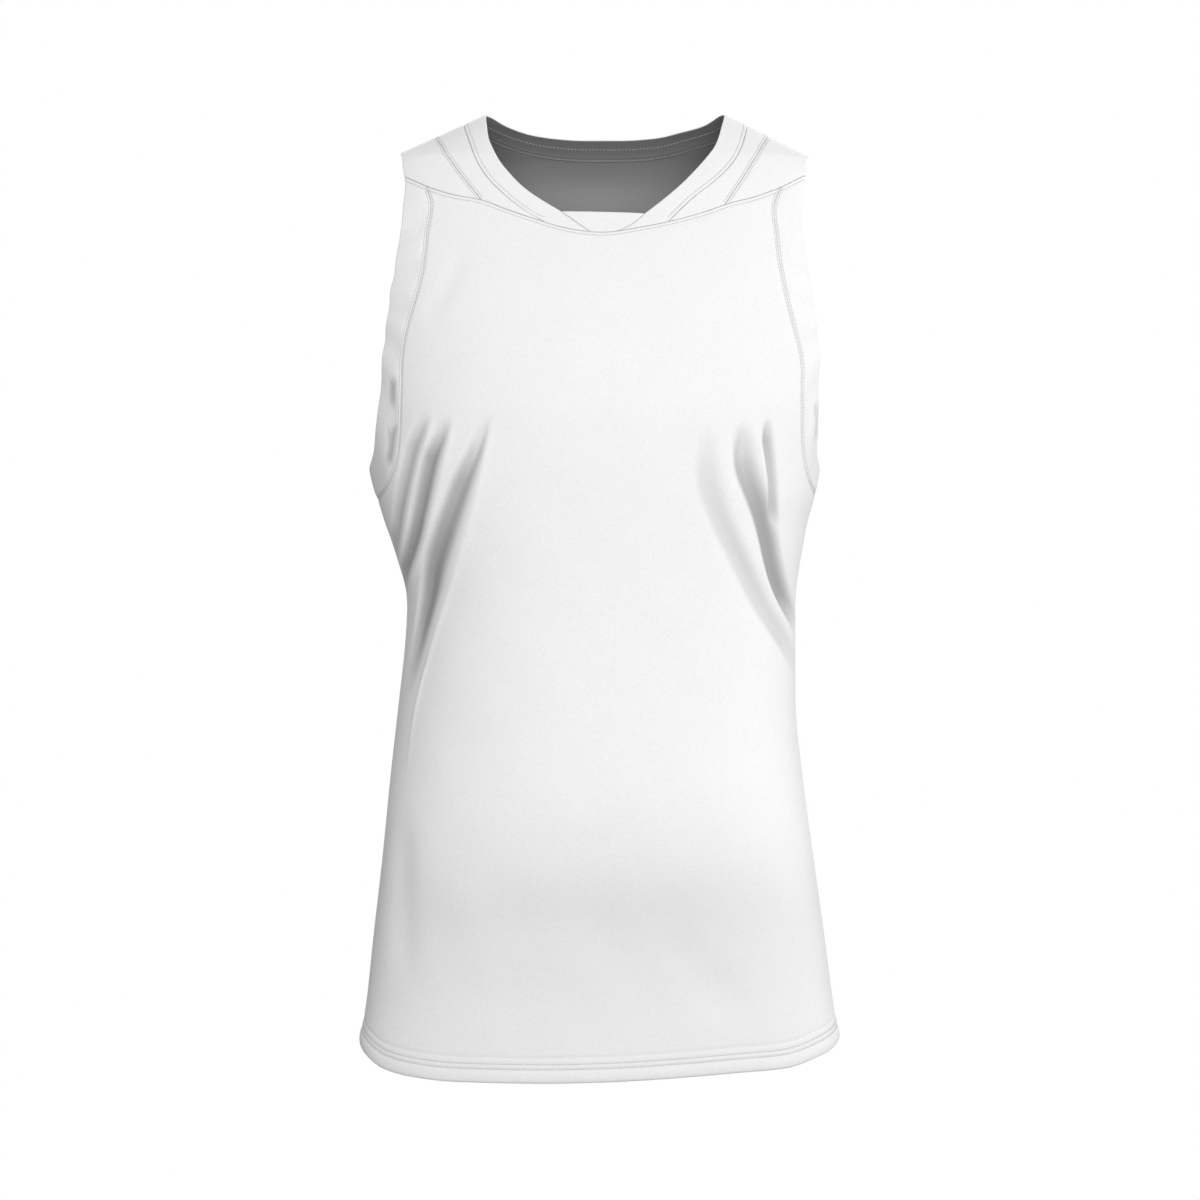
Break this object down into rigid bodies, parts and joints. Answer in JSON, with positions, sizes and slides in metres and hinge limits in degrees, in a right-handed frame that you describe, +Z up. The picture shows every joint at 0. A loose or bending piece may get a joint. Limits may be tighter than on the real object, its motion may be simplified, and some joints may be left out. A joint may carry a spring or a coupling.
{
  "type": "basketball jersey",
  "caption": "White sleeveless basketball jersey, filled out as worn with no wearer, with a banded neck and armholes, shaped front shoulder pieces and a turned hem.",
  "frame": {"origin": "middle of the line between the two high shoulder points, where the garment is held", "axes": "+Z up along the garment, the front faces -Y, the width is along X"},
  "size_m": [0.383, 0.2372, 0.768],
  "materials": {
    "knit_white": "matte, soft sheen",
    "band_white": "matte, soft sheen",
    "thread_white": "matte"
  },
  "bodies": {
    "root": {"front_panel": "knit_white", "back_panel": "knit_white", "yoke_left": "knit_white", "yoke_right": "knit_white", "strip_left": "knit_white", "strip_right": "knit_white", "armhole_band_left": "band_white", "armhole_band_right": "band_white", "neckband": "band_white", "neck_insert": "band_white"}
  },
  "joints": []
}
